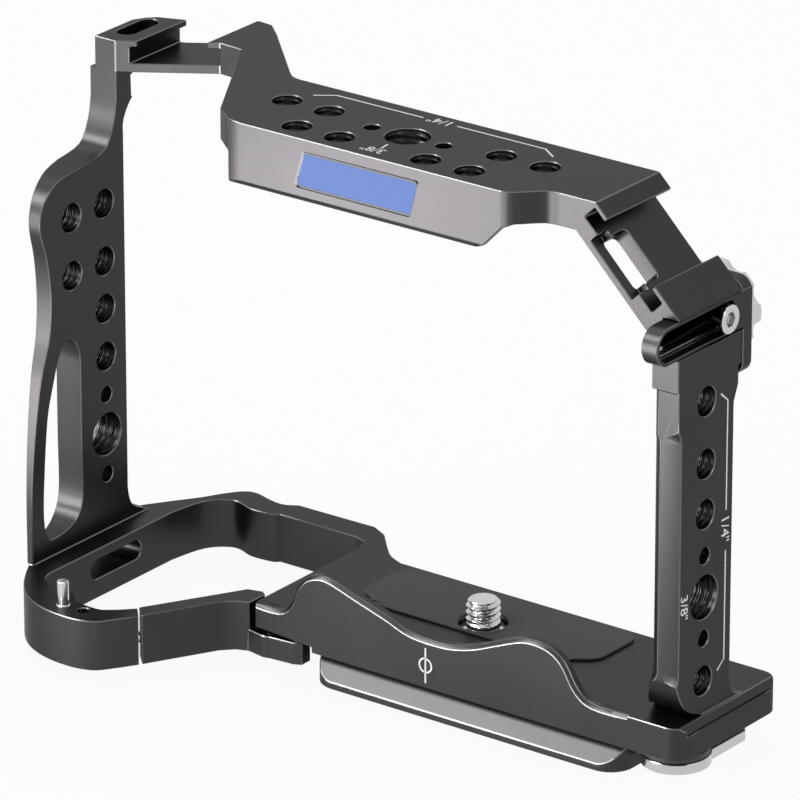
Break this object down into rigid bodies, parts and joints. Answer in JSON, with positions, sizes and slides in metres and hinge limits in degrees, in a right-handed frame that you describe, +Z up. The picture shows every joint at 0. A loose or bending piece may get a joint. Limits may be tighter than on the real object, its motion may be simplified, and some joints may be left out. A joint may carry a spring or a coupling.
{
  "type": "camera cage",
  "caption": "Metal frame that goes round a camera body, with a captive camera screw, a swinging grip gate, a sliding cable clamp, a stored key, shoe slots and threaded accessory holes.",
  "frame": {"origin": "where the camera screw's axis meets the seat of the camera", "axes": "+X to the right seen from the front, +Y to the back, +Z up along the camera screw"},
  "size_m": [0.1454, 0.0674, 0.1071],
  "materials": {
    "frame_metal": "satin dark anodised with fine bright edges",
    "pad_rubber": "matte",
    "badge_blue": "satin blue inlay",
    "bright_steel": "polished",
    "magnet_nickel": "nickel plated",
    "holder_plastic": "matte black"
  },
  "bodies": {
    "frame": {"base_plate": "frame_metal", "front_lip": "frame_metal", "dovetail_rail": "frame_metal", "foot": "frame_metal", "right_pillar": "frame_metal", "pillar_head": "frame_metal", "slanted_arm": "frame_metal", "top_plate": "frame_metal", "left_bridge": "frame_metal", "left_plate": "frame_metal", "loop_side": "frame_metal", "loop_back_wall": "frame_metal", "rubber_pad": "pad_rubber", "badge_inlay": "badge_blue", "gate_hinge_pin": "bright_steel", "gate_catch": "magnet_nickel", "locating_pin": "bright_steel", "key_holder": "holder_plastic", "key_magnets": "magnet_nickel"},
    "camera_screw": {"camera_screw": "bright_steel", "screw_clip": "bright_steel"},
    "gate": {"gate": "frame_metal"},
    "cable_clamp": {"cable_clamp": "frame_metal"},
    "clamp_lock_screw": {"clamp_lock_screw": "bright_steel"},
    "thumb_knob": {"thumb_knob": "bright_steel"},
    "stored_key": {"stored_key": "bright_steel"}
  },
  "joints": [
    {"name": "camera_screw_turn", "type": "hinge", "parent": "frame", "child": "camera_screw", "pos_m": [0, 0, 0], "axis": [0, 0, 1], "continuous": true},
    {"name": "gate_swing", "type": "hinge", "parent": "frame", "child": "gate", "pos_m": [-0.0365, -0.0156, -0.005], "axis": [0, 0, 1], "range_deg": [0, 75]},
    {"name": "clamp_slide", "type": "slide", "parent": "frame", "child": "cable_clamp", "axis": [0, 1, 0], "range_m": [0, 0.016]},
    {"name": "lock_screw_turn", "type": "hinge", "parent": "frame", "child": "clamp_lock_screw", "pos_m": [0.05462, -0.0034, 0.07368], "axis": [1, 0, 0], "continuous": true},
    {"name": "thumb_knob_turn", "type": "hinge", "parent": "cable_clamp", "child": "thumb_knob", "pos_m": [0.04452, 0.006, 0.07005], "axis": [0, 1, 0], "continuous": true},
    {"name": "key_lift_off", "type": "slide", "parent": "frame", "child": "stored_key", "axis": [0, 0, -1], "range_m": [0, 0.012]}
  ]
}
